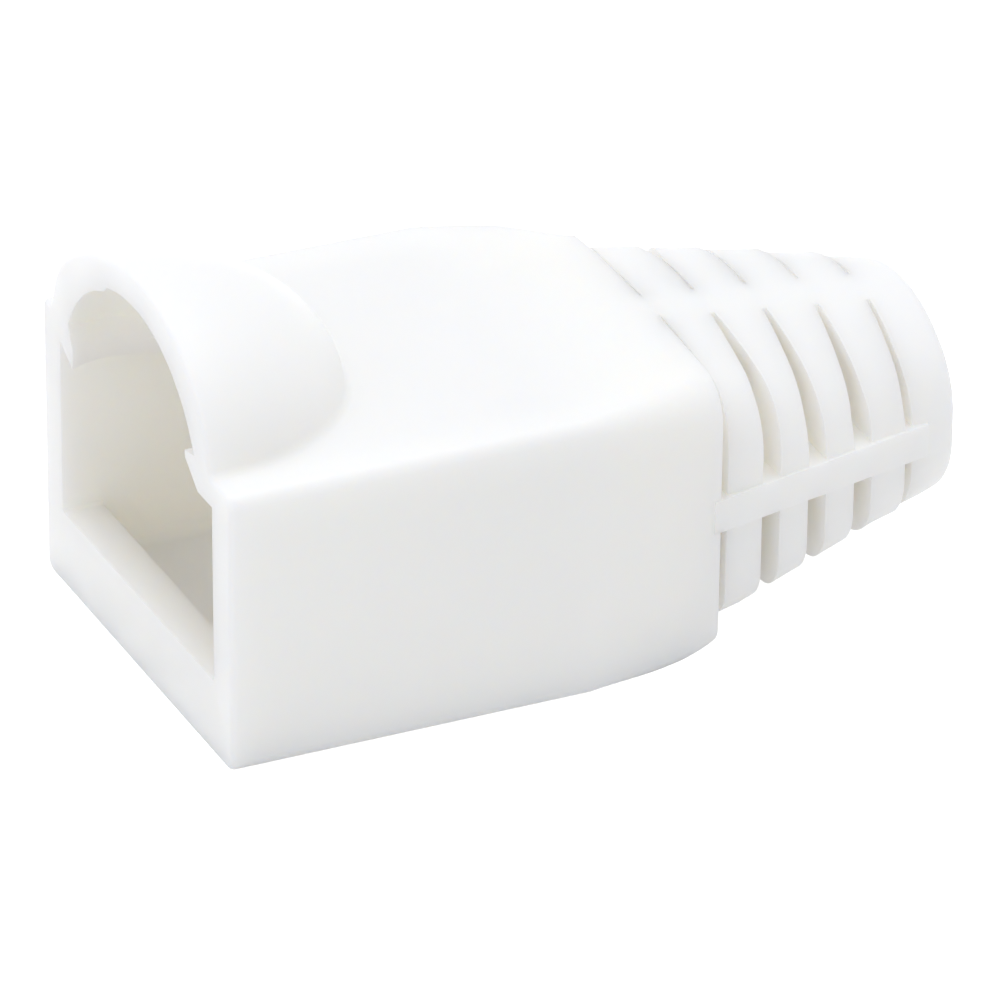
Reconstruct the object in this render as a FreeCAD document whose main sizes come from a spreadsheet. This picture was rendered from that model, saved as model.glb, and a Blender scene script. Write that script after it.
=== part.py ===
import FreeCAD, Part
import os
import Sketcher

# RJ45 strain relief boot, moulded in one piece from soft white PVC.
# It slips over the rear of an RJ45 plug.  X runs from the mouth, where the
# plug goes in, to the tail, where the cable comes out.  Z is up.  The boot is
# built upwards from its flat underside at Z = 0 and then set down so that the
# origin lies on the cable axis, in the mouth plane.  The two sides match about
# the plane Y = 0, except for the latch lips and the top turns of the tail.
# All sizes are in millimetres.

SIZES = [
    # Square front block
    ("body_width", 14.5, "width over the side walls at the mouth"),
    ("shoulder_height", 9.65, "underside to the flat shoulders"),
    ("fold_x", 12.3, "mouth to the fold line where the taper starts"),
    ("fold_width", 14.1, "width at the fold line"),
    ("edge_radius", 0.45, "long outer edges of the front block"),
    ("overrun", 1.0, "how far blanks and cutters pass a trimmed face"),
    ("root", 0.1, "how deep an added form is rooted in the wall behind it"),
    ("mouth_lean", 0.28, "how far the hood leans forward of the sill"),
    # Tapered rear of the body
    ("body_length", 17.35, "mouth to the middle of the first slot"),
    ("mid_x", 14.9, "station in the middle of the tapered rear"),
    ("mid_width", 12.9, "width at that station"),
    ("mid_rise", 0.12, "belly height at that station"),
    ("mid_top", 9.46, "top at that station"),
    ("mid_top_radius", 0.95, "upper edges at that station"),
    ("mid_low_radius", 0.55, "lower edges at that station"),
    ("rear_width", 11.5, "width where the body ends"),
    ("rear_rise", 0.4, "belly height where the body ends"),
    ("rear_top", 9.25, "top where the body ends"),
    ("rear_top_radius", 1.5, "upper edges where the body ends"),
    ("rear_low_radius", 0.8, "lower edges where the body ends"),
    # Hood over the latch of the plug
    ("hood_width", 11.3, "hood at shoulder level, at the mouth"),
    ("hood_length", 6.4, "mouth to the rear foot of the hood"),
    ("hood_rise", 4.12, "crown of the hood above the shoulders"),
    ("hood_foot_radius", 0.3, "fillet between hood and shoulders"),
    ("mouth_radius", 0.2, "outer edge of the mouth"),
    # Plug cavity
    ("cavity_width", 11.8, "plug width 11.7 and a clearance"),
    ("cavity_floor", 0.95, "thickness of the floor"),
    ("cavity_ceiling", 8.9, "height of the cavity ceiling"),
    ("cavity_depth", 12.1, "mouth to the rear wall of the cavity"),
    ("cavity_radius", 0.5, "corners of the cavity"),
    ("opening_radius", 0.15, "lower corners of the mouth opening"),
    ("sill_top", 2.66, "top of the sill that holds the plug back"),
    ("sill_depth", 1.3, "thickness of the sill"),
    ("ceiling_radius", 0.2, "upper corners of the cavity"),
    ("lip_drop", 0.7, "how far the left lip hangs below the ceiling"),
    ("lip_heel_drop", 0.1, "how far it hangs down where it meets the wall"),
    ("lip_gap", 9.9, "clear width at the left lip"),
    ("lip_length", 5.4, "length of the left lip"),
    ("tooth_reach", 3.85, "middle to the tooth of the right lip"),
    ("tooth_height", 9.5, "height of the tooth"),
    ("tooth_top", 9.75, "where the tooth ends above"),
    ("tooth_foot", 4.82, "middle to the lower end of the tooth's slope"),
    ("tooth_foot_height", 8.75, "height of that end"),
    ("tooth_root", 5.05, "how far out the tooth is rooted in the hood"),
    ("tooth_root_height", 9.95, "height of that root"),
    ("tooth_length", 1.8, "length of the right lip with its tooth"),
    # Latch hollow under the hood
    ("hollow_width", 10.2, "hollow at its widest"),
    ("hollow_middle", 1.0, "mouth to that widest place"),
    ("hollow_base", 8.2, "height of that widest level"),
    ("hollow_rise", 4.6, "crown of the hollow above that level"),
    ("hollow_half", 4.5, "widest place to the rear of the hollow"),
    # Cable way
    ("bore_diameter", 5.2, "cable of 5.0 and a clearance"),
    ("bore_height", 5.1, "height of the cable axis"),
    ("throat_x", 16.3, "mouth to the narrow end of the throat"),
    ("throat_flat", 0.05, "half of the flats left between its corners there"),
    # Ribbed tail
    ("overall_length", 26.45, "mouth to the end of the tail"),
    ("tail_width", 11.4, "tail at the first slot"),
    ("tail_rise", 0.6, "underside of the tail at the first slot"),
    ("tail_top", 9.22, "top of the tail there"),
    ("tail_right_spring", 7.3, "where the right side turns into the top there"),
    ("tail_right_radius", 1.7, "radius of that turn"),
    ("tail_left_spring", 7.6, "where the left side turns into the top there"),
    ("tail_left_radius", 1.5, "radius of that turn"),
    ("tail_low_radius", 1.2, "lower edges at the first slot"),
    ("tail_mid_width", 9.16, "tail halfway along"),
    ("tail_mid_rise", 1.4, "underside halfway along"),
    ("tail_mid_top", 8.9, "top halfway along"),
    ("tail_mid_right_spring", 5.0, "right spring halfway along"),
    ("tail_mid_right_radius", 3.1, "right turn halfway along"),
    ("tail_mid_left_spring", 7.1, "left spring halfway along"),
    ("tail_mid_left_radius", 1.6, "left turn halfway along"),
    ("tail_mid_low_radius", 1.5, "lower edges halfway along"),
    ("end_width", 6.85, "tail at its end"),
    ("end_rise", 1.85, "underside at the end"),
    ("end_top", 8.3, "top at the end"),
    ("end_right_spring", 5.2, "right spring at the end"),
    ("end_right_radius", 2.7, "right turn at the end"),
    ("end_left_spring", 6.2, "left spring at the end"),
    ("end_left_radius", 1.9, "left turn at the end"),
    ("end_low_radius", 2.4, "lower edges at the end"),
    ("end_radius", 0.5, "rounding of the end edge"),
    # Slots and side spines
    ("slot_count", 5, "slots above and below each spine"),
    ("slot_pitch", 1.8, "spacing of the slots"),
    ("slot_width", 0.7, "slot at the sides"),
    ("slot_neck", 0.18, "slot where it closes near the middle"),
    ("slot_knee", 3.4, "distance from the middle where the slot is full"),
    ("web_width", 1.4, "uncut web along the top and along the underside"),
    ("spine_height", 1.12, "height of the side spines"),
    ("spine_level", 4.75, "middle of the side spines"),
    ("spine_proud", 0.14, "how far a spine stands out of the rings"),
    # Worked out from the sizes above
    ("half_body", "=body_width / 2", "mouth to side wall"),
    ("half_mouth", "=cavity_width / 2", "middle to cavity wall"),
    ("blank_start", "=-overrun - mouth_lean", "front of the blanks"),
    ("fold_half", "=fold_width / 2", "middle to side wall at the fold"),
    ("blank_half", "=half_body - (half_body - fold_half) / fold_x * blank_start",
     "middle to side wall at the front of the blank"),
    ("crown_height", "=shoulder_height + hood_rise", "top of the hood"),
    ("above_all", "=crown_height + overrun", "level clear of the crown"),
    ("beside_all", "=half_body + overrun", "distance clear of the side walls"),
    ("lean_above", "=mouth_lean * above_all / crown_height", "lean at that level"),
    ("lean_below", "=mouth_lean * overrun / crown_height", "lean below the underside"),
    ("trim_front", "=hood_length + overrun", "front of the mouth trim"),
    ("trim_run", "=body_width + 2 * overrun", "width of the mouth trim"),
    ("cavity_run", "=cavity_depth - sill_depth", "cavity behind the sill"),
    ("opening_run", "=sill_depth + overrun + mouth_lean", "cut of the opening"),
    ("lip_tip", "=cavity_ceiling - lip_drop", "lower edge of the left lip"),
    ("lip_inner", "=lip_gap / 2", "middle to the inner face of that lip"),
    ("lip_heel", "=cavity_ceiling - lip_heel_drop", "its lower edge at the wall"),
    ("lip_root", "=cavity_ceiling + root", "lips rooted in the ceiling"),
    ("lip_outer", "=half_mouth + root", "lips rooted in the side walls"),
    ("lip_run", "=lip_length + overrun + mouth_lean", "blank of the left lip"),
    ("tooth_run", "=tooth_length + overrun + mouth_lean", "blank of the right lip"),
    ("tail_mid_x", "=(body_length + overall_length) / 2", "middle of the tail"),
    ("bore_radius", "=bore_diameter / 2", "radius of the cable bore"),
    ("throat_low", "=bore_height - bore_radius", "bottom of the bore"),
    ("throat_high", "=bore_height + bore_radius", "top of the bore"),
    ("throat_corner", "=bore_radius - throat_flat", "corners of its nearly round end"),
    ("bore_run", "=overall_length + overrun - throat_x + overrun", "bore"),
    ("bore_start", "=overall_length + overrun", "where the bore is cut from"),
    ("web_edge", "=web_width / 2", "middle to the inner end of a slot"),
    ("slot_left", "=body_length - slot_width / 2", "front of the first slot"),
    ("slot_right", "=body_length + slot_width / 2", "rear of the first slot"),
    ("neck_left", "=body_length - slot_neck / 2", "front of its neck"),
    ("neck_right", "=body_length + slot_neck / 2", "rear of its neck"),
    ("spine_top", "=spine_level + spine_height / 2", "top of the spines"),
    ("spine_bottom", "=spine_level - spine_height / 2", "underside of them"),
    ("slot_up", "=above_all - spine_top", "height of the upper slot cutter"),
    ("slot_down", "=spine_bottom + overrun", "depth of the lower slot cutter"),
    ("spine_start", "=slot_left - root", "spines rooted in the body"),
    ("spine_end", "=body_length + slot_pitch * (slot_count - 1) + slot_width",
     "spines run onto the end collar"),
    ("side_slope", "=(tail_width - end_width) / 2 / (overall_length - body_length)",
     "plan taper of the tail sides"),
    ("spine_out_start", "=tail_width / 2 + spine_proud + side_slope * (body_length - spine_start)",
     "outer face of a spine at its start"),
    ("spine_out_end", "=tail_width / 2 + spine_proud - side_slope * (spine_end - body_length)",
     "outer face of a spine at its end"),
    ("spine_in_start", "=spine_out_start - spine_proud - root", "inner face there"),
    ("spine_in_end", "=spine_out_end - spine_proud - root", "inner face there"),
]

doc = FreeCAD.newDocument("Boot")
sheet = doc.addObject("Spreadsheet::Sheet", "Sizes")
for row, (alias, value, meaning) in enumerate(SIZES, start=1):
    sheet.set("A%d" % row, alias)
    sheet.set("B%d" % row, str(value))
    sheet.set("C%d" % row, meaning)
    sheet.setAlias("B%d" % row, alias)
doc.recompute()

body = doc.addObject("PartDesign::Body", "strain_relief_boot")
body.Label = "strain_relief_boot"
doc.recompute()


def size(name):
    """Value of a named size; a leading minus sign turns it round and 0 is nought."""
    if name == "0":
        return 0.0
    if name.startswith("-"):
        return -float(sheet.get(name[1:]))
    return float(sheet.get(name))


def formula(name):
    """Spreadsheet expression for a named size."""
    if name.startswith("-"):
        return "-Sizes." + name[1:]
    return "Sizes." + name


def origin_plane(role):
    """The body's own origin plane with this role."""
    for feature in body.Origin.OriginFeatures:
        if feature.Role == role:
            return feature
    raise RuntimeError("no origin feature " + role)


def new_sketch(name, role, offset=None):
    """A sketch on an origin plane, moved along its normal by a named size."""
    sketch = body.newObject("Sketcher::SketchObject", name)
    sketch.AttachmentSupport = [(origin_plane(role), "")]
    sketch.MapMode = "FlatFace"
    if offset:
        sketch.setExpression("AttachmentOffset.Base.z", formula(offset))
    return sketch


def dimension(sketch, kind, refs, name):
    """A dimension tied to a named size."""
    index = sketch.addConstraint(Sketcher.Constraint(kind, *refs, size(name)))
    label = "d%d" % index
    sketch.renameConstraint(index, label)
    sketch.setExpression("Constraints." + label, formula(name))


def line(sketch, start, end):
    """A straight edge."""
    first = FreeCAD.Vector(start[0], start[1], 0)
    last = FreeCAD.Vector(end[0], end[1], 0)
    return sketch.addGeometry(Part.LineSegment(first, last), False)


def arc(sketch, middle, radius, start, end):
    """An arc edge between two angles in radians."""
    centre = FreeCAD.Vector(middle[0], middle[1], 0)
    circle = Part.Circle(centre, FreeCAD.Vector(0, 0, 1), radius)
    return sketch.addGeometry(Part.ArcOfCircle(circle, start, end), False)


QUARTER = 1.5707963267948966
CLOSE = 0.001
FLATTEST = 300
HALVINGS = 200


def level(sketch, edge, point, name):
    """The height of a point: a named size, or 0 for the underside."""
    if name == "0":
        sketch.addConstraint(Sketcher.Constraint("PointOnObject", edge, point, -1))
    else:
        dimension(sketch, "DistanceY", (-1, 1, edge, point), name)


def rounded_section(name, station, width, low, high, low_radius, high_radius):
    """A rounded rectangle across the boot, symmetric about Y = 0."""
    sketch = new_sketch(name, "YZ_Plane", station)
    w = size(width) / 2
    b = size(low)
    t = size(high)
    rb = size(low_radius)
    rt = size(high_radius)
    bottom = line(sketch, (-w + rb, b), (w - rb, b))
    low_right = arc(sketch, (w - rb, b + rb), rb, 3 * QUARTER, 4 * QUARTER)
    right = line(sketch, (w, b + rb), (w, t - rt))
    top_right = arc(sketch, (w - rt, t - rt), rt, 0, QUARTER)
    top = line(sketch, (w - rt, t), (-w + rt, t))
    top_left = arc(sketch, (-w + rt, t - rt), rt, QUARTER, 2 * QUARTER)
    left = line(sketch, (-w, t - rt), (-w, b + rb))
    low_left = arc(sketch, (-w + rb, b + rb), rb, 2 * QUARTER, 3 * QUARTER)
    chain = [bottom, low_right, right, top_right, top, top_left, left, low_left]
    for first, second in zip(chain, chain[1:] + chain[:1]):
        sketch.addConstraint(Sketcher.Constraint("Tangent", first, 2, second, 1))
    for flat in (bottom, top):
        sketch.addConstraint(Sketcher.Constraint("Symmetric", flat, 1, flat, 2, -2))
    for upright in (right, left):
        sketch.addConstraint(Sketcher.Constraint("Vertical", upright))
    sketch.addConstraint(Sketcher.Constraint("Equal", low_right, low_left))
    dimension(sketch, "Radius", (low_right,), low_radius)
    dimension(sketch, "Radius", (top_right,), high_radius)
    dimension(sketch, "DistanceX", (left, 1, right, 1), width)
    level(sketch, bottom, 1, low)
    level(sketch, top, 1, high)
    return sketch


def crown_over(left, right, top):
    """Middle and radius of the arc that touches two rounded corners and a level."""
    (lx, lz, lr), (rx, rz, rr) = left, right
    low = top - FLATTEST * (lr + rr)
    high = min(lz + lr, rz + rr) - max(lr, rr)
    for step in range(HALVINGS):
        middle = (low + high) / 2
        radius = top - middle
        from_left = lx + max((radius - lr) ** 2 - (lz - middle) ** 2, 0.0) ** 0.5
        from_right = rx - max((radius - rr) ** 2 - (rz - middle) ** 2, 0.0) ** 0.5
        if from_left > from_right:
            low = middle
        else:
            high = middle
    return (from_left + from_right) / 2, middle, radius


def arched_section(name, station, station_name):
    """A section with upright sides, a rounded bottom and an arched top."""
    sketch = new_sketch(name, "YZ_Plane", station)
    named = {}
    for word in ("width", "rise", "top", "left_spring", "left_radius",
                 "right_spring", "right_radius", "low_radius"):
        named[word] = station_name + "_" + word
    w = size(named["width"]) / 2
    b = size(named["rise"])
    rb = size(named["low_radius"])
    # The sketch looks along X, so the boot's left side is its right-hand side
    zl = size(named["left_spring"])
    rl = size(named["left_radius"])
    zr = size(named["right_spring"])
    rr = size(named["right_radius"])
    y, z, r = crown_over((-w + rr, zr, rr), (w - rl, zl, rl), size(named["top"]))
    across = FreeCAD.Vector(1, 0, 0)
    lean_l = FreeCAD.Vector(w - rl - y, zl - z, 0).getAngle(across)
    lean_r = FreeCAD.Vector(-w + rr - y, zr - z, 0).getAngle(across)
    bottom = line(sketch, (-w + rb, b), (w - rb, b))
    low_left = arc(sketch, (w - rb, b + rb), rb, 3 * QUARTER, 4 * QUARTER)
    left = line(sketch, (w, b + rb), (w, zl))
    turn_left = arc(sketch, (w - rl, zl), rl, 0, lean_l)
    crown = arc(sketch, (y, z), r, lean_l, lean_r)
    turn_right = arc(sketch, (-w + rr, zr), rr, lean_r, 2 * QUARTER)
    right = line(sketch, (-w, zr), (-w, b + rb))
    low_right = arc(sketch, (-w + rb, b + rb), rb, 2 * QUARTER, 3 * QUARTER)
    chain = [bottom, low_left, left, turn_left, crown, turn_right, right, low_right]
    for first, second in zip(chain, chain[1:] + chain[:1]):
        sketch.addConstraint(Sketcher.Constraint("Tangent", first, 2, second, 1))
    sketch.addConstraint(Sketcher.Constraint("Symmetric", bottom, 1, bottom, 2, -2))
    for upright in (right, left):
        sketch.addConstraint(Sketcher.Constraint("Vertical", upright))
    sketch.addConstraint(Sketcher.Constraint("Equal", low_right, low_left))
    apex = sketch.addGeometry(Part.Point(FreeCAD.Vector(y, z + r, 0)), True)
    sketch.addConstraint(Sketcher.Constraint("Vertical", apex, 1, crown, 3))
    sketch.addConstraint(Sketcher.Constraint("PointOnObject", apex, 1, crown))
    dimension(sketch, "Radius", (low_right,), named["low_radius"])
    dimension(sketch, "Radius", (turn_left,), named["left_radius"])
    dimension(sketch, "Radius", (turn_right,), named["right_radius"])
    dimension(sketch, "DistanceX", (right, 1, left, 2), named["width"])
    level(sketch, bottom, 1, named["rise"])
    level(sketch, left, 2, named["left_spring"])
    level(sketch, right, 1, named["right_spring"])
    level(sketch, apex, 1, named["top"])
    return sketch


def polygon(sketch, corners):
    """A closed polygon whose corners are pairs of named sizes, 0 for an axis."""
    points = []
    for pair in corners:
        points.append(tuple(size(name) for name in pair))
    edges = []
    for start, end in zip(points, points[1:] + points[:1]):
        edges.append(line(sketch, start, end))
    for first, second in zip(edges, edges[1:] + edges[:1]):
        sketch.addConstraint(Sketcher.Constraint("Coincident", first, 2, second, 1))
    for edge, pair in zip(edges, corners):
        for kind, axis, name in zip(("DistanceX", "DistanceY"), (-2, -1), pair):
            if name == "0":
                sketch.addConstraint(Sketcher.Constraint("PointOnObject", edge, 1, axis))
            else:
                dimension(sketch, kind, (-1, 1, edge, 1), name)


def opposite(name):
    """The named size with its sign turned round."""
    return name[1:] if name.startswith("-") else "-" + name


def mirrored_plan(corners):
    """The same polygon across Y = 0, in a sketch seen from above."""
    return [(x, opposite(y)) for x, y in corners]


def mirrored_section(corners):
    """The same polygon across Y = 0, in a sketch across the boot."""
    return [(opposite(y), z) for y, z in corners]


def loft(kind, name, start, sections, ruled):
    """A loft from a sketch or a face, given with its name, through further sketches."""
    feature = body.newObject("PartDesign::" + kind, name)
    feature.Profile = (start[0], [start[1]])
    feature.Sections = [(section, [""]) for section in sections]
    feature.Ruled = ruled
    doc.recompute()
    return feature


def pocket(name, sketch, length, towards_normal):
    """A pocket of a named length; towards_normal cuts along the sketch normal."""
    feature = body.newObject("PartDesign::Pocket", name)
    feature.Profile = (sketch, [""])
    feature.Type = 0
    feature.setExpression("Length", formula(length))
    feature.Reversed = towards_normal
    doc.recompute()
    return feature


def pad(name, sketch, length):
    """A pad of a named length along the sketch normal."""
    feature = body.newObject("PartDesign::Pad", name)
    feature.Profile = (sketch, [""])
    feature.Type = 0
    feature.setExpression("Length", formula(length))
    doc.recompute()
    return feature


def ellipsoid(kind, name, along_x, along_y, along_z, height):
    """An ellipsoid centred over the mouth at a named height, given its half axes."""
    feature = body.newObject("PartDesign::" + kind, name)
    feature.AttachmentSupport = [(origin_plane("XY_Plane"), "")]
    feature.MapMode = "FlatFace"
    feature.setExpression("AttachmentOffset.Base.z", formula(height))
    feature.Angle1 = -90
    feature.Angle2 = 90
    feature.Angle3 = 360
    feature.setExpression("Radius1", along_z)
    feature.setExpression("Radius2", along_x)
    feature.setExpression("Radius3", along_y)
    doc.recompute()
    return feature


def fillet(name, radius, wanted):
    """A fillet on the edges that the test picks out."""
    base = body.Tip
    names = []
    for index, edge in enumerate(base.Shape.Edges, start=1):
        if wanted(edge):
            names.append("Edge%d" % index)
    if not names:
        raise RuntimeError("no edges for " + name)
    feature = body.newObject("PartDesign::Fillet", name)
    feature.Base = (base, names)
    feature.setExpression("Radius", formula(radius))
    doc.recompute()
    return feature


def picked_face(feature, wanted):
    """Name of the face of a feature that the test picks out."""
    for index, face in enumerate(feature.Shape.Faces, start=1):
        if wanted(face):
            return "Face%d" % index
    raise RuntimeError("no such face on " + feature.Name)


def on_long_edge(edge):
    """True for the four long outer edges of the front block."""
    box = edge.BoundBox
    return box.XLength > size("fold_x") and box.ZLength < size("edge_radius")


def on_fold(face):
    """True for the rear face of the front block, at the fold."""
    return face.BoundBox.XMin > size("fold_x") - size("edge_radius")


# Front block, as a plan raised to the shoulders, and tapered rear
block_sketch = new_sketch("BlockPlan", "XY_Plane")
polygon(block_sketch, [("blank_start", "blank_half"), ("blank_start", "-blank_half"),
                       ("fold_x", "-fold_half"), ("fold_x", "fold_half")])
pad("FrontBlock", block_sketch, "shoulder_height")
block = fillet("LongEdges", "edge_radius", on_long_edge)
mid_section = rounded_section("MidSection", "mid_x", "mid_width", "mid_rise",
                              "mid_top", "mid_low_radius", "mid_top_radius")
rear_section = rounded_section("RearSection", "body_length", "rear_width", "rear_rise",
                               "rear_top", "rear_low_radius", "rear_top_radius")
loft("AdditiveLoft", "TaperedRear", (block, picked_face(block, on_fold)),
     [mid_section, rear_section], False)

# Ribbed tail, still without its slots
tail_section = arched_section("TailSection", "body_length", "tail")
tail_mid = arched_section("TailMidSection", "tail_mid_x", "tail_mid")
tail_end = arched_section("TailEndSection", "overall_length", "end")
loft("AdditiveLoft", "Tail", (tail_section, ""), [tail_mid, tail_end], False)


def on_end_face(edge):
    """True for the outer edge of the tail end."""
    box = edge.BoundBox
    end = size("overall_length")
    return abs(box.XMin - end) < CLOSE and abs(box.XMax - end) < CLOSE


fillet("EndRounding", "end_radius", on_end_face)

# Hood over the latch
ellipsoid("AdditiveEllipsoid", "Hood", "Sizes.hood_length", "Sizes.hood_width / 2",
          "Sizes.hood_rise", "shoulder_height")

# Mouth opening, plug cavity and the throat that narrows to the cable bore
opening_sketch = rounded_section("OpeningSection", "blank_start", "cavity_width", "sill_top",
                                 "cavity_ceiling", "opening_radius", "ceiling_radius")
pocket("MouthOpening", opening_sketch, "opening_run", True)
cavity_sketch = rounded_section("CavitySection", "sill_depth", "cavity_width", "cavity_floor",
                                "cavity_ceiling", "cavity_radius", "ceiling_radius")
pocket("PlugCavity", cavity_sketch, "cavity_run", True)
throat_wide = rounded_section("ThroatWide", "cavity_depth", "cavity_width", "cavity_floor",
                              "cavity_ceiling", "cavity_radius", "cavity_radius")
throat_narrow = rounded_section("ThroatNarrow", "throat_x", "bore_diameter", "throat_low",
                                "throat_high", "throat_corner", "throat_corner")
loft("SubtractiveLoft", "Throat", (throat_wide, ""), [throat_narrow], True)
bore_sketch = new_sketch("BoreSection", "YZ_Plane", "bore_start")
bore_circle = bore_sketch.addGeometry(
    Part.Circle(FreeCAD.Vector(0, size("bore_height"), 0), FreeCAD.Vector(0, 0, 1),
                size("bore_radius")), False)
bore_sketch.addConstraint(Sketcher.Constraint("PointOnObject", bore_circle, 3, -2))
dimension(bore_sketch, "Radius", (bore_circle,), "bore_radius")
dimension(bore_sketch, "DistanceY", (-1, 1, bore_circle, 3), "bore_height")
pocket("CableBore", bore_sketch, "bore_run", False)

# Left lip, the hollow for the latch of the plug, and the toothed right lip
left_sketch = new_sketch("LeftLipSection", "YZ_Plane", "blank_start")
polygon(left_sketch, [("lip_outer", "lip_root"), ("0", "lip_root"), ("0", "lip_tip"),
                      ("lip_inner", "lip_tip"), ("lip_outer", "lip_heel")])
pad("LeftLip", left_sketch, "lip_run")
hollow = ellipsoid("SubtractiveEllipsoid", "LatchHollow", "Sizes.hollow_half",
                   "Sizes.hollow_width / 2", "Sizes.hollow_rise", "hollow_base")
hollow.setExpression("AttachmentOffset.Base.x", "Sizes.hollow_middle")
doc.recompute()
right_sketch = new_sketch("RightLipSection", "YZ_Plane", "blank_start")
polygon(right_sketch, [("-tooth_foot", "tooth_foot_height"), ("-tooth_reach", "tooth_height"),
                       ("-tooth_reach", "tooth_top"), ("-tooth_root", "tooth_root_height"),
                       ("-tooth_root", "lip_root"), ("-lip_outer", "lip_root"),
                       ("-lip_outer", "tooth_foot_height")])
pad("RightLip", right_sketch, "tooth_run")

# The mouth is trimmed on a plane that leans forward with height
trim_sketch = new_sketch("MouthTrim", "XZ_Plane")
polygon(trim_sketch, [("lean_below", "-overrun"), ("-lean_above", "above_all"),
                      ("-trim_front", "above_all"), ("-trim_front", "-overrun")])
trim = pocket("MouthFace", trim_sketch, "trim_run", False)
trim.Midplane = True
doc.recompute()


def off_mouth(point):
    """Distance in front of or behind the leaning mouth plane."""
    return abs(point.x + size("mouth_lean") / size("crown_height") * point.z)


def mouth_rim():
    """Outer edges of the leaning mouth face."""
    for face in body.Tip.Shape.Faces:
        if max(off_mouth(vertex.Point) for vertex in face.Vertexes) < CLOSE:
            return face.OuterWire.Edges
    raise RuntimeError("no mouth face")


def on_mouth_rim(edge):
    """True for the outer edges of the mouth face."""
    return any(edge.isSame(other) for other in rim)


def on_hood_foot(edge):
    """True for the edges where the hood stands on the shoulders."""
    first, last = edge.ParameterRange
    for step in (0.0, 0.5, 1.0):
        point = edge.valueAt(first + (last - first) * step)
        if abs(point.z - size("shoulder_height")) > CLOSE:
            return False
        across = point.y / (size("hood_width") / 2)
        along = point.x / size("hood_length")
        if abs(across ** 2 + along ** 2 - 1) > CLOSE:
            return False
    return True


fillet("HoodFoot", "hood_foot_radius", on_hood_foot)
rim = mouth_rim()
fillet("MouthRounding", "mouth_radius", on_mouth_rim)


# Slots cut from both sides, above and below the side spines
slot_corners = [("neck_left", "web_edge"), ("slot_left", "slot_knee"), ("slot_left", "beside_all"),
                ("slot_right", "beside_all"), ("slot_right", "slot_knee"), ("neck_right", "web_edge")]
upper_sketch = new_sketch("UpperSlot", "XY_Plane", "spine_top")
polygon(upper_sketch, slot_corners)
polygon(upper_sketch, mirrored_plan(slot_corners))
upper_slot = pocket("UpperSlots", upper_sketch, "slot_up", True)
lower_sketch = new_sketch("LowerSlot", "XY_Plane", "spine_bottom")
polygon(lower_sketch, slot_corners)
polygon(lower_sketch, mirrored_plan(slot_corners))
lower_slot = pocket("LowerSlots", lower_sketch, "slot_down", False)
rings = body.newObject("PartDesign::LinearPattern", "SlotPattern")
rings.Originals = [upper_slot, lower_slot]
rings.Direction = (origin_plane("X_Axis"), [""])
rings.Mode = "Spacing"
rings.setExpression("Offset", "Sizes.slot_pitch")
rings.setExpression("Occurrences", "Sizes.slot_count")
body.Tip = rings
doc.recompute()

# Side spines that join the rings
spine_corners = [("spine_start", "spine_in_start"), ("spine_end", "spine_in_end"),
                 ("spine_end", "spine_out_end"), ("spine_start", "spine_out_start")]
spine_sketch = new_sketch("SpinePlan", "XY_Plane", "spine_bottom")
polygon(spine_sketch, spine_corners)
polygon(spine_sketch, mirrored_plan(spine_corners))
pad("SideSpines", spine_sketch, "spine_height")

# The origin is moved from the underside to the cable axis, in the mouth plane
body.setExpression("Placement.Base.z", "-Sizes.bore_height")
doc.recompute()

# Check every object, then export
for item in doc.Objects:
    bad = [state for state in item.State if state in ("Invalid", "Error")]
    if bad:
        raise RuntimeError("%s is %s" % (item.Name, bad))
solid = body.Shape
if solid.isNull() or not solid.isValid() or len(solid.Solids) != 1:
    raise RuntimeError("the boot is not one valid solid")
box = solid.optimalBoundingBox(False)
print("boot %.2f x %.2f x %.2f mm, volume %.1f mm3" % (box.XLength, box.YLength, box.ZLength, solid.Volume))
os.makedirs("parts", exist_ok=True)
solid.exportStep("parts/strain_relief_boot.step")
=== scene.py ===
"""Looks of a soft white strain relief boot for a modular plug.

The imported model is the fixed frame: X runs from the mouth to the tail, Z is up,
and the origin lies on the cable axis in the plane of the mouth.  All lengths are
in metres.
"""

import logging
import math
from dataclasses import dataclass, field
from enum import Enum

import bmesh
import bpy
from mathutils import Matrix, Vector


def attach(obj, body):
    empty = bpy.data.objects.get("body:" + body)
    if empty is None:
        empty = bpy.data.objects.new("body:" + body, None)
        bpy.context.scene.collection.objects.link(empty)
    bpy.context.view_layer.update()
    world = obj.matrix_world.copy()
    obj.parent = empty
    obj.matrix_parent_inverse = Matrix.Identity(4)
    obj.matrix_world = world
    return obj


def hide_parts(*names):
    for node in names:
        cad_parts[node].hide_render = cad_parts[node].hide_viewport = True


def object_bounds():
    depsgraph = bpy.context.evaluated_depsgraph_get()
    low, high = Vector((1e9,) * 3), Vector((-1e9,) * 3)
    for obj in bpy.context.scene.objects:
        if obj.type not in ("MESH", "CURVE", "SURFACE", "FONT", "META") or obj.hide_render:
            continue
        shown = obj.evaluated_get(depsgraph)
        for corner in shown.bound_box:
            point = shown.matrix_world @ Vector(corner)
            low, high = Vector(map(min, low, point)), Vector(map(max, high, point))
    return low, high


logging.basicConfig(level=logging.INFO, format="%(message)s")
LOG = logging.getLogger("boot")

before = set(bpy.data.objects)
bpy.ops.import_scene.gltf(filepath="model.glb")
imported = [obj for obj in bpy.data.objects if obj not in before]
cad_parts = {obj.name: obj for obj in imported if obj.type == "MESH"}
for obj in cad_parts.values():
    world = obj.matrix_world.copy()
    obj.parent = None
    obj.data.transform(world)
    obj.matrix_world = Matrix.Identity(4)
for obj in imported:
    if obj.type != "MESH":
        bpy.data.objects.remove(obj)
CAD_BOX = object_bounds()

MM = 0.001
NODE = "strain_relief_boot"
BODY = "root"


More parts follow.
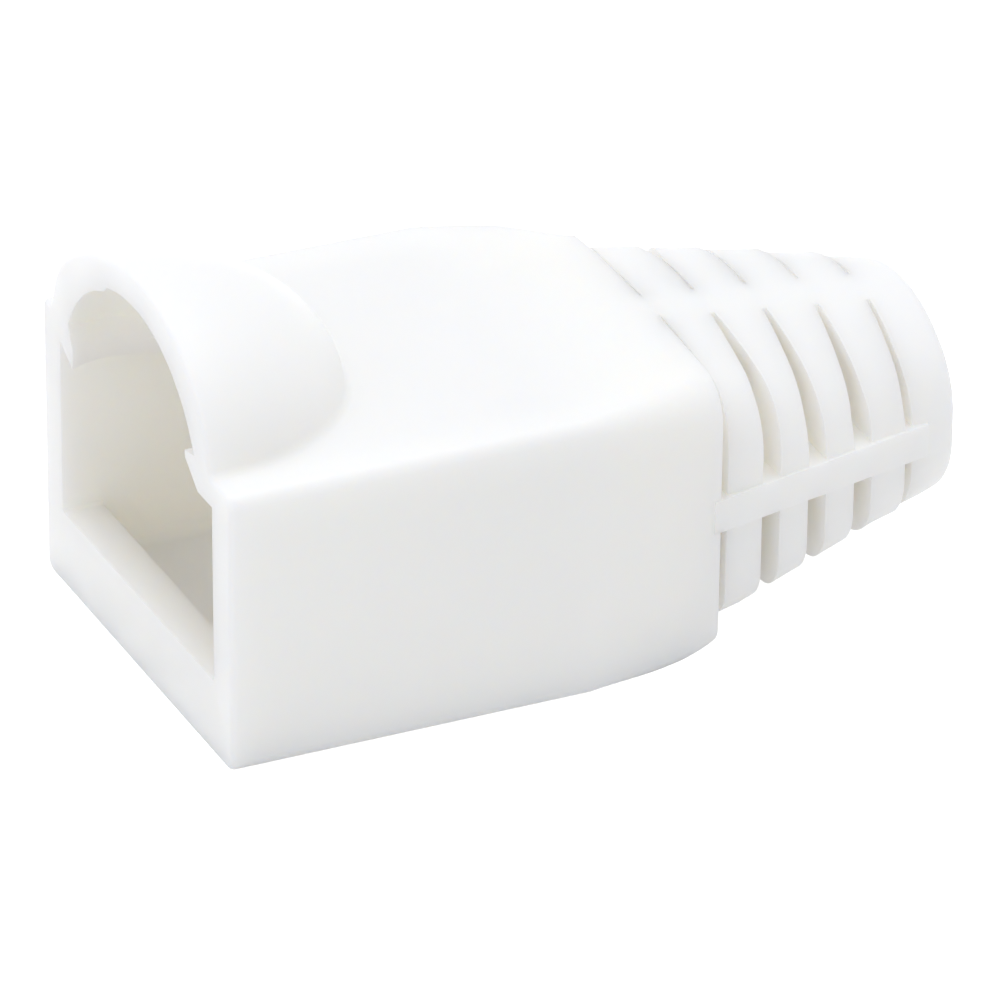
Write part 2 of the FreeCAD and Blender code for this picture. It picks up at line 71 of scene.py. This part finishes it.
class Ray(Enum):
    """Outputs of the Light Path node that tell what sees a surface."""

    CAMERA = "Is Camera Ray"
    GLOSSY = "Is Glossy Ray"
    TRANSMISSION = "Is Transmission Ray"


# Finishes


@dataclass(frozen=True)
class SoftPvc:
    """Satin finish of soft white PVC, as it comes out of a spark-eroded mould."""

    name: str = "boot_soft_pvc"
    colour: tuple[float, float, float, float] = (0.945, 0.928, 0.885, 1.0)
    roughness: float = 0.46
    specular: float = 0.4
    scatter_weight: float = 0.85
    scatter_depth: float = 1.8 * MM
    scatter_radius: tuple[float, float, float] = (1.0, 0.88, 0.72)
    grain_size: float = 0.09 * MM
    grain_depth: float = 0.0022 * MM
    wave_size: float = 3.2 * MM
    wave_depth: float = 0.02 * MM
    worn_size: float = 1.6 * MM
    polished: float = 0.40
    dull: float = 0.54
    cloud_size: float = 4.5 * MM
    cloud_shade: tuple[float, float, float, float] = (0.93, 0.912, 0.872, 1.0)

    def make(self) -> bpy.types.Material:
        """Builds the material.

        Returns:
            A material whose clouds, sheen and relief follow Object coordinates.
        """
        material = bpy.data.materials.new(self.name)
        material.use_nodes = True
        tree = material.node_tree
        shader = tree.nodes["Principled BSDF"]
        shader.inputs["Base Color"].default_value = self.colour
        shader.inputs["Roughness"].default_value = self.roughness
        shader.inputs["Specular IOR Level"].default_value = self.specular
        shader.inputs["Subsurface Weight"].default_value = self.scatter_weight
        shader.inputs["Subsurface Scale"].default_value = self.scatter_depth
        shader.inputs["Subsurface Radius"].default_value = self.scatter_radius
        self.cloud(tree, shader)
        self.wear(tree, shader)
        self.relief(tree, shader)
        return material

    def noise(self, tree: bpy.types.NodeTree, size: float, detail: float) -> bpy.types.NodeSocket:
        """Adds a noise that follows Object coordinates.

        Args:
            tree: The node tree that the noise goes into.
            size: Size of one blotch.
            detail: How many finer layers it has.

        Returns:
            The socket with the noise, about 0 to 1.
        """
        place = tree.nodes.new("ShaderNodeTexCoord")
        noise = tree.nodes.new("ShaderNodeTexNoise")
        noise.inputs["Scale"].default_value = 1.0 / size
        noise.inputs["Detail"].default_value = detail
        tree.links.new(place.outputs["Object"], noise.inputs["Vector"])
        return noise.outputs["Fac"]

    def cloud(self, tree: bpy.types.NodeTree, shader: bpy.types.Node) -> None:
        """Clouds the colour faintly, as the filler does in the moulding."""
        mix = tree.nodes.new("ShaderNodeMix")
        mix.data_type = "RGBA"
        mix.inputs["A"].default_value = self.colour
        mix.inputs["B"].default_value = self.cloud_shade
        tree.links.new(self.noise(tree, self.cloud_size, 2.0), mix.inputs["Factor"])
        tree.links.new(mix.outputs["Result"], shader.inputs["Base Color"])

    def wear(self, tree: bpy.types.NodeTree, shader: bpy.types.Node) -> None:
        """Lets the sheen change a little from place to place."""
        sheen = tree.nodes.new("ShaderNodeMapRange")
        sheen.inputs["From Min"].default_value = 0.3
        sheen.inputs["From Max"].default_value = 0.7
        sheen.inputs["To Min"].default_value = self.polished
        sheen.inputs["To Max"].default_value = self.dull
        tree.links.new(self.noise(tree, self.worn_size, 3.0), sheen.inputs["Value"])
        tree.links.new(sheen.outputs["Result"], shader.inputs["Roughness"])

    def relief(self, tree: bpy.types.NodeTree, shader: bpy.types.Node) -> None:
        """Adds the mould's grain on top of the slow waves of the cooled skin."""
        wave = tree.nodes.new("ShaderNodeBump")
        wave.inputs["Distance"].default_value = self.wave_depth
        tree.links.new(self.noise(tree, self.wave_size, 1.0), wave.inputs["Height"])
        grain = tree.nodes.new("ShaderNodeBump")
        grain.inputs["Distance"].default_value = self.grain_depth
        tree.links.new(self.noise(tree, self.grain_size, 3.0), grain.inputs["Height"])
        tree.links.new(wave.outputs["Normal"], grain.inputs["Normal"])
        tree.links.new(grain.outputs["Normal"], shader.inputs["Normal"])


@dataclass(frozen=True)
class StudioWhite:
    """Matt white of the floor, shown a little brighter to the camera than it lights."""

    name: str = "studio_white"
    colour: tuple[float, float, float, float] = (0.86, 0.86, 0.86, 1.0)
    lift: float = 0.75

    def make(self) -> bpy.types.Material:
        """Builds the floor's material.

        Returns:
            A diffuse material with a lift that only rays towards the viewer see.
        """
        material = bpy.data.materials.new(self.name)
        material.use_nodes = True
        tree = material.node_tree
        shader = tree.nodes["Principled BSDF"]
        shader.inputs["Base Color"].default_value = self.colour
        shader.inputs["Roughness"].default_value = 1.0
        shader.inputs["Specular IOR Level"].default_value = 0.0
        shader.inputs["Emission Color"].default_value = (1.0, 1.0, 1.0, 1.0)
        seen = seen_directly(tree)
        lift = tree.nodes.new("ShaderNodeMath")
        lift.operation = "MULTIPLY"
        lift.inputs[1].default_value = self.lift
        tree.links.new(seen, lift.inputs[0])
        tree.links.new(lift.outputs[0], shader.inputs["Emission Strength"])
        return material


def seen_directly(tree: bpy.types.NodeTree) -> bpy.types.NodeSocket:
    """Adds a mask for what the camera, a reflection or a clear part sees.

    Args:
        tree: The node tree that the mask goes into.

    Returns:
        A socket that is 1 for those rays and 0 for light that falls on things.
    """
    path = tree.nodes.new("ShaderNodeLightPath")
    total = path.outputs[Ray.CAMERA.value]
    for ray in (Ray.GLOSSY, Ray.TRANSMISSION):
        larger = tree.nodes.new("ShaderNodeMath")
        larger.operation = "MAXIMUM"
        tree.links.new(total, larger.inputs[0])
        tree.links.new(path.outputs[ray.value], larger.inputs[1])
        total = larger.outputs[0]
    return total


# The boot


def smooth_step(value: float, start: float, end: float) -> float:
    """Eases from 0 at start to 1 at end.

    Args:
        value: Where it is read.
        start: Where it leaves 0.
        end: Where it reaches 1.

    Returns:
        A number from 0 to 1.
    """
    share = min(max((value - start) / (end - start), 0.0), 1.0)
    return share * share * (3.0 - 2.0 * share)


@dataclass
class Hood:
    """Set of the soft hood: its left foot spreads, and its hollow stays full to the rear."""

    shoulder: float = 4.55 * MM
    foot: float = 5.65 * MM
    spread_foot: float = 6.6 * MM
    edge: float = 7.25 * MM
    rear: float = 6.9 * MM
    slack: float = 0.002 * MM
    fade: float = 0.9 * MM
    settled: float = 3.0 * MM
    hollow_middle: Vector = field(default_factory=lambda: Vector((1.0 * MM, 0.0, 3.1 * MM)))
    hollow_half: tuple[float, float, float] = (4.5 * MM, 5.1 * MM, 4.6 * MM)
    lowering: float = 0.06
    stretch: float = 0.15
    hollow_spread: float = 1.12
    hollow_raise: float = 1.06
    fullness: float = 0.4
    hollow_reach: float = 1.04
    hollow_below: float = 0.1 * MM
    ledge_start: float = 0.3 * MM
    ledge_end: float = 0.6 * MM
    least_round: float = 0.01

    def in_hollow(self, place: Vector) -> bool:
        """Tells whether a point lies on the wall of the hollow."""
        offset = place - self.hollow_middle
        reach = sum((part / half) ** 2 for part, half in zip(offset, self.hollow_half))
        return reach < self.hollow_reach and place.z > self.hollow_middle.z - self.hollow_below

    def spread(self, place: Vector) -> None:
        """Moves a point of the left half outwards.

        Args:
            place: The point, which is changed.
        """
        share = smooth_step(place.z, self.shoulder - self.fade, self.shoulder)
        if place.y <= 0.0 or share == 0.0:
            return
        if self.in_hollow(place):
            place.y *= 1.0 + (self.hollow_spread - 1.0) * share
            return
        on_hood = place.y < self.foot and place.z > self.shoulder - self.slack
        if on_hood and place.x < self.rear:
            place.x += max(place.x, 0.0) * self.stretch * place.y / self.foot
        if place.z > self.shoulder:
            lowered = self.lowering * smooth_step(place.y, 0.0, self.settled)
            place.z -= (place.z - self.shoulder) * lowered
        wider = self.spread_foot / self.foot
        if place.y < self.foot:
            moved = place.y * wider
        else:
            rest = (self.edge - self.spread_foot) / (self.edge - self.foot)
            moved = self.spread_foot + (place.y - self.foot) * rest
        place.y += (moved - place.y) * share

    def lift(self, place: Vector) -> None:
        """Raises a high point of the hollow's wall.

        Args:
            place: The point, which is changed.
        """
        if self.in_hollow(place) and place.z > self.shoulder:
            place.z += (place.z - self.shoulder) * (self.hollow_raise - 1.0)

    def fill_out(self, place: Vector) -> None:
        """Moves a low point of the hollow's wall outwards, so that its ledge runs straight.

        Args:
            place: The point, which is changed.
        """
        if not self.in_hollow(place) or place.x < self.hollow_middle.x:
            return
        along = (place.x - self.hollow_middle.x) / self.hollow_half[0]
        round_width = math.sqrt(max(1.0 - along * along, self.least_round))
        share = 1.0 - smooth_step(place.z, self.hollow_middle.z + self.ledge_start,
                                  self.shoulder + self.ledge_end)
        place.y *= 1.0 + (round_width ** self.fullness / round_width - 1.0) * share


@dataclass
class Belly:
    """Set of the belly: it stays full up to the rear of the sleeve and only then draws in."""

    start: float = 12.3 * MM
    full: float = 16.4 * MM
    end: float = 17.2 * MM
    below: float = -1.5 * MM
    depth: float = 4.0 * MM
    hold: float = 0.5 * MM
    drop: float = 0.4 * MM
    margin: float = 0.004 * MM

    def settle(self, place: Vector) -> None:
        """Lowers a point of the underside.

        Args:
            place: The point, which is changed.
        """
        if place.x < self.start or place.x > self.end or place.z > self.below:
            return
        share = smooth_step(place.x, self.start, self.full)
        share *= 1.0 - smooth_step(place.x, self.full + self.hold, self.end)
        depth = smooth_step(-place.z, -self.below, self.depth)
        lowest = CAD_BOX[0][2] + self.margin
        if place.z > lowest:
            place.z = max(place.z - self.drop * share * depth, lowest)


@dataclass
class Slots:
    """Set of the slots: thin over the top, full at the sides, the first nearly shut."""

    first: float = 17.35 * MM
    pitch: float = 1.8 * MM
    count: int = 5
    web: float = 0.7 * MM
    neck: float = 0.09 * MM
    knee: float = 3.4 * MM
    half: float = 0.35 * MM
    slack: float = 0.02 * MM
    thin: float = 0.05 * MM
    first_front: float = 0.22 * MM
    first_rear: float = 0.11 * MM
    last: float = 0.16 * MM
    right_opening: tuple[float, float] = (0.4 * MM, 4.5 * MM)
    left_opening: tuple[float, float] = (3.0 * MM, 5.0 * MM)
    side: tuple[float, float] = (1.2 * MM, 2.6 * MM)

    def cut(self, across: float) -> float:
        """Half width that a slot was cut with.

        Args:
            across: Distance from the middle.

        Returns:
            The half width there.
        """
        if across >= self.knee:
            return self.half
        share = (across - self.web) / (self.knee - self.web)
        return self.neck + (self.half - self.neck) * share

    def wanted(self, place: Vector, turn: int, rear: bool) -> float:
        """Half width that a slot has on the moulding.

        Args:
            place: A point on the slot's wall.
            turn: Number of the slot, from 0.
            rear: Whether the point is on the slot's rear wall.

        Returns:
            The half width there.
        """
        full = self.half
        if turn == 0:
            full = self.first_rear if rear else self.first_front
        elif turn == self.count - 1:
            full = self.last
        if place.z < 0.0:
            return full * self.cut(abs(place.y)) / self.half
        begin, end = self.right_opening if place.y < 0.0 else self.left_opening
        low = 1.0 - smooth_step(place.z, *self.side)
        opened = max(min(max((abs(place.y) - begin) / (end - begin), 0.0), 1.0), low)
        return self.thin + (full - self.thin) * opened

    def settle(self, place: Vector) -> None:
        """Moves a point of a slot's wall to where the moulding has it.

        Args:
            place: The point, which is changed.
        """
        across = abs(place.y)
        if across < self.web - self.slack:
            return
        turn = round((place.x - self.first) / self.pitch)
        if turn < 0 or turn >= self.count:
            return
        middle = self.first + turn * self.pitch
        off = place.x - middle
        if abs(abs(off) - self.cut(across)) > self.slack:
            return
        rear = off > 0.0
        place.x = middle + math.copysign(self.wanted(place, turn, rear), off)


@dataclass
class Boot:
    """The moulding itself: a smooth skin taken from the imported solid."""

    finish: SoftPvc = field(default_factory=SoftPvc)
    hood: Hood = field(default_factory=Hood)
    belly: Belly = field(default_factory=Belly)
    slots: Slots = field(default_factory=Slots)
    weld: float = 0.002 * MM
    flat_angle: float = math.radians(0.4)
    crease_angle: float = math.radians(28.0)
    edge_round: float = 0.07 * MM
    rim_round: float = 0.12 * MM
    edge_steps: int = 2
    rim_steps: int = 3
    rim_slack: float = 0.01 * MM
    least_edge: float = 0.0005 * MM
    lean: float = 0.28 / 13.77

    def creases(self, form: bmesh.types.BMesh) -> list[bmesh.types.BMEdge]:
        """Finds the edges that are sharper than the crease angle."""
        return [edge for edge in form.edges
                if edge.is_manifold and edge.calc_face_angle(0.0) > self.crease_angle]

    def on_rim(self, edge: bmesh.types.BMEdge) -> bool:
        """Tells whether an edge runs round the inside of the mouth, in its leaning plane."""
        return all(abs(point.co.x + self.lean * (point.co.z - CAD_BOX[0][2])) < self.rim_slack
                   for point in edge.verts)

    def build(self) -> bpy.types.Object:
        """Builds the skin.

        Returns:
            The finished piece, at the origin, unturned and unscaled.
        """
        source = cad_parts[NODE]
        form = bmesh.new()
        form.from_mesh(source.data)
        bmesh.ops.remove_doubles(form, verts=form.verts, dist=self.weld)
        for point in form.verts:
            self.hood.fill_out(point.co)
            self.hood.spread(point.co)
            self.hood.lift(point.co)
            self.belly.settle(point.co)
            self.slots.settle(point.co)
        bmesh.ops.dissolve_limit(form, angle_limit=self.flat_angle, verts=form.verts,
                                 edges=form.edges, use_dissolve_boundaries=False)
        rim = [edge for edge in self.creases(form) if self.on_rim(edge)]
        bmesh.ops.bevel(form, geom=rim, offset=self.rim_round, offset_type="OFFSET",
                        segments=self.rim_steps, profile=0.5, affect="EDGES",
                        clamp_overlap=True, material=-1)
        creases = self.creases(form)
        bmesh.ops.bevel(form, geom=creases, offset=self.edge_round, offset_type="OFFSET",
                        segments=self.edge_steps, profile=0.5, affect="EDGES",
                        clamp_overlap=True, material=-1)
        bmesh.ops.dissolve_degenerate(form, dist=self.least_edge, edges=form.edges)
        bmesh.ops.triangulate(form, faces=[f for f in form.faces if len(f.verts) > 4])
        mesh = bpy.data.meshes.new("boot_moulding")
        form.to_mesh(mesh)
        form.free()
        mesh.shade_smooth()
        mesh.set_sharp_from_angle(angle=self.crease_angle)
        piece = bpy.data.objects.new("boot_moulding", mesh)
        bpy.context.scene.collection.objects.link(piece)
        return piece

    def dress(self, piece: bpy.types.Object) -> None:
        """Gives the skin its finish.

        Args:
            piece: The skin.
        """
        piece.data.materials.clear()
        piece.data.materials.append(self.finish.make())

    def make(self) -> bpy.types.Object:
        """Builds, dresses and places the boot.

        Returns:
            The piece that stands for the CAD node.
        """
        piece = self.build()
        self.dress(piece)
        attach(piece, BODY)
        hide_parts(NODE)
        return piece


# The studio


@dataclass
class Studio:
    """Floor, lights, white surround and camera."""

    floor_half: float = 1.5
    bounces: int = 16
    ambient: float = 0.70
    tint: tuple[float, float, float] = (1.0, 1.01, 1.05)
    away: float = 0.6
    top_power: float = 1.34
    top_side: float = 0.5
    top_towards: tuple[float, float, float] = (0.1, 0.15, 1.0)
    left_power: float = 0.4
    left_side: float = 0.4
    left_towards: tuple[float, float, float] = (-1.0, -0.12, 0.5)
    azimuth: float = math.radians(-25.0)
    elevation: float = math.radians(28.6)
    roll: float = math.radians(1.05)
    distance: float = 517.9 * MM
    reference: tuple[float, float, float] = (13.464 * MM, 0.0, 1.114 * MM)
    aim_right: float = -1.12 * MM
    aim_up: float = -2.68 * MM
    lens: float = 597.4
    sensor: float = 36.0

    def floor(self) -> bpy.types.Object:
        """Lays the floor under the boot.

        Returns:
            The floor.
        """
        mesh = bpy.data.meshes.new("studio_floor")
        form = bmesh.new()
        place = Matrix.Translation((0.0, 0.0, CAD_BOX[0][2]))
        bmesh.ops.create_grid(form, x_segments=1, y_segments=1, size=self.floor_half, matrix=place)
        form.to_mesh(mesh)
        form.free()
        floor = bpy.data.objects.new("studio_floor", mesh)
        floor.data.materials.append(StudioWhite().make())
        bpy.context.scene.collection.objects.link(floor)
        return floor

    def surround(self) -> None:
        """Sets the even light all round, white where it is seen directly."""
        world = bpy.data.worlds.new("studio_surround")
        bpy.context.scene.world = world
        world.use_nodes = True
        tree = world.node_tree
        backdrop = tree.nodes["Background"]
        mix = tree.nodes.new("ShaderNodeMix")
        mix.data_type = "RGBA"
        lit = [self.ambient * part for part in self.tint]
        mix.inputs["A"].default_value = (*lit, 1.0)
        mix.inputs["B"].default_value = (1.0, 1.0, 1.0, 1.0)
        tree.links.new(seen_directly(tree), mix.inputs["Factor"])
        tree.links.new(mix.outputs["Result"], backdrop.inputs["Color"])

    def softbox(self, name: str, towards: Vector, side: float, power: float) -> None:
        """Hangs a square softbox that faces the boot.

        Args:
            name: Name of the lamp.
            towards: Direction from the boot to the lamp.
            side: Width of the lamp.
            power: Power in watts.
        """
        lamp = bpy.data.lights.new(name, "AREA")
        lamp.shape = "SQUARE"
        lamp.size = side
        lamp.energy = power
        lamp.color = self.tint
        holder = bpy.data.objects.new(name, lamp)
        direction = towards.normalized()
        holder.matrix_world = Matrix.Translation(Vector(self.reference) + direction * self.away) @ (
            direction.to_track_quat("Z", "Y").to_matrix().to_4x4())
        bpy.context.scene.collection.objects.link(holder)

    def camera(self) -> bpy.types.Object:
        """Sets up the camera.

        Returns:
            The camera, already made the scene's own.
        """
        sin_a, cos_a = math.sin(self.azimuth), math.cos(self.azimuth)
        sin_e, cos_e = math.sin(self.elevation), math.cos(self.elevation)
        back = Vector((sin_a * cos_e, -cos_a * cos_e, sin_e))
        level_right = Vector((cos_a, sin_a, 0.0))
        level_up = back.cross(level_right)
        right = level_right * math.cos(self.roll) + level_up * math.sin(self.roll)
        up = back.cross(right)
        aim = Vector(self.reference) + right * self.aim_right + up * self.aim_up
        data = bpy.data.cameras.new("studio_camera")
        data.lens = self.lens
        data.sensor_width = self.sensor
        data.clip_start = 0.01
        camera = bpy.data.objects.new("studio_camera", data)
        turn = Matrix((right, up, back)).transposed().to_4x4()
        camera.matrix_world = Matrix.Translation(aim + back * self.distance) @ turn
        bpy.context.scene.collection.objects.link(camera)
        bpy.context.scene.camera = camera
        return camera

    def make(self) -> None:
        """Builds the whole studio."""
        self.floor()
        self.surround()
        self.softbox("softbox_top", Vector(self.top_towards), self.top_side, self.top_power)
        self.softbox("softbox_left", Vector(self.left_towards), self.left_side, self.left_power)
        self.camera()
        bpy.context.scene.cycles.max_bounces = self.bounces
        bpy.context.scene.cycles.diffuse_bounces = self.bounces
        bpy.context.scene.view_settings.view_transform = "Standard"


def main() -> None:
    """Builds the boot and the studio."""
    Studio().make()
    piece = Boot().make()
    LOG.info("%s: %d faces", piece.name, len(piece.data.polygons))


if __name__ == "__main__":
    main()
